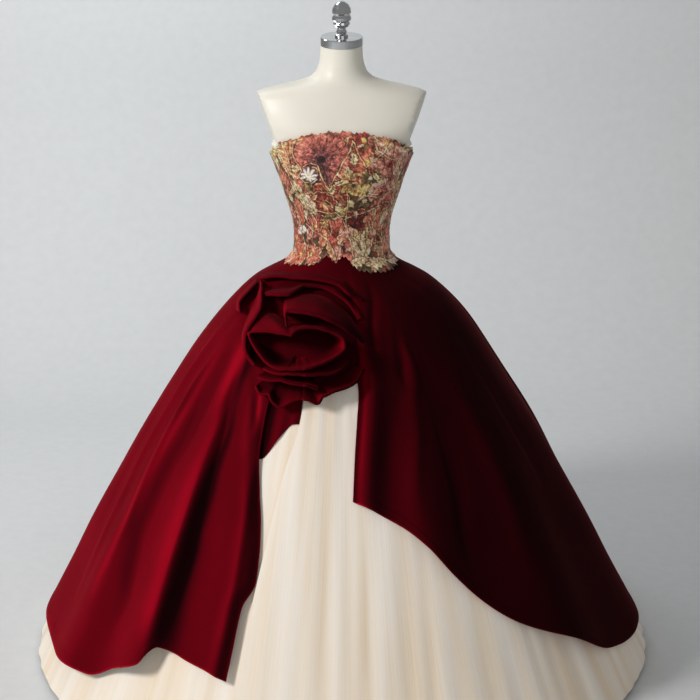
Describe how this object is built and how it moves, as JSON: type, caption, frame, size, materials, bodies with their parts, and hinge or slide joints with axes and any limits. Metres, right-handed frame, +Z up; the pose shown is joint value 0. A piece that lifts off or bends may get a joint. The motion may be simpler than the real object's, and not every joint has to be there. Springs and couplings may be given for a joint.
{
  "type": "strapless ball gown on dress form",
  "caption": "Strapless ball gown with a fitted bodice, an open-fronted overskirt over a full underskirt, and a folded rosette at one hip, worn by a limbless dress form.",
  "frame": {"origin": "centre of the stand base's underside, on the floor", "axes": "+Z up along the stand and the form; -Y is the front of the gown; +X is the wearer's left"},
  "size_m": [1.4918, 1.4923, 1.5596],
  "materials": {
    "brocade": "floral brocade with corded outlines",
    "velvet": "deep wine velvet",
    "tulle": "soft ivory tulle in close layers",
    "form_cover": "smooth eggshell cream",
    "chrome": "polished"
  },
  "bodies": {
    "root": {"bodice_back_left": "brocade", "bodice_back_right": "brocade", "bodice_front": "brocade", "bodice_side_left": "brocade", "bodice_side_right": "brocade", "form_torso": "form_cover", "neck_cap": "chrome", "neck_finial": "chrome", "rose_ground": "velvet", "rose_heart": "velvet", "rose_inner_lower": "velvet", "rose_inner_upper": "velvet", "rose_middle_lower": "velvet", "rose_middle_upper": "velvet", "rose_outer_lower": "velvet", "rose_outer_side": "velvet", "rose_outer_upper": "velvet", "rose_side": "velvet", "stand_base": "chrome", "stand_pole": "chrome", "tulle_back": "tulle", "tulle_back_left": "tulle", "tulle_back_right": "tulle", "tulle_front": "tulle", "tulle_side_left": "tulle", "tulle_side_right": "tulle", "velvet_back_left": "velvet", "velvet_back_right": "velvet", "velvet_front_left": "velvet", "velvet_front_right": "velvet", "velvet_tail": "velvet"}
  },
  "joints": []
}
